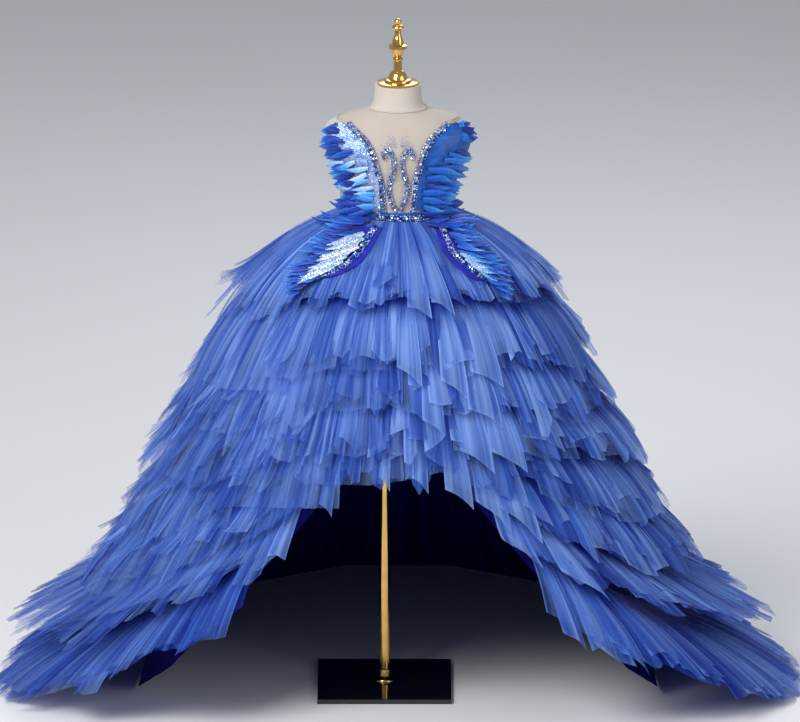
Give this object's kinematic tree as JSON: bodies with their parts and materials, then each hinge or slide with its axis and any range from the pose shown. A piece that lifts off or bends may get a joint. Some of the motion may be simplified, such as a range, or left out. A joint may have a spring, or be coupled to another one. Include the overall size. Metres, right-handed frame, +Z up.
{
  "type": "ballroom gown on dress form",
  "caption": "Child's high-low tiered tulle ballroom gown with a long train, feathered bodice and hip wings, standing on a limbless dress form with a pole and base plate.",
  "frame": {"origin": "centre of the base plate's underside, on the floor", "axes": "+Z up along the pole; the gown's front faces -Y; +X is towards the viewer's right"},
  "size_m": [1.5709, 1.3659, 1.329],
  "materials": {
    "tulle": "soft matt tulle, cornflower blue",
    "dark_net": "dark navy net underskirt",
    "nude_net": "sheer nude illusion net",
    "feather": "cut satin feathers, sequinned",
    "cobalt": "satin, deep cobalt",
    "beads": "faceted glass beads",
    "form": "cream linen over a moulded form",
    "gold": "polished gold plating",
    "plate": "mirror-gloss black"
  },
  "bodies": {
    "root": {"base_plate": "plate", "base_flange": "gold", "pole": "gold", "finial": "gold", "form_torso": "form", "bodice_front": "nude_net", "bodice_back_left": "nude_net", "bodice_back_right": "nude_net", "back_zip": "nude_net", "zip_slider": "gold", "feather_panel_left": "feather", "feather_panel_right": "feather", "bodice_beads_left": "beads", "bodice_beads_right": "beads", "scroll_beads_left": "beads", "scroll_beads_right": "beads", "waistband": "cobalt", "waist_beads": "beads", "skirt_base": "dark_net", "tier_1": "tulle", "tier_2": "tulle", "tier_3": "tulle", "tier_4": "tulle", "tier_5": "tulle", "tier_6": "tulle", "tier_7": "tulle", "tier_8": "tulle", "wing_underlay_left": "cobalt", "wing_underlay_right": "cobalt", "wing_left": "feather", "wing_right": "feather", "wing_beads_left": "beads", "wing_beads_right": "beads"}
  },
  "joints": []
}
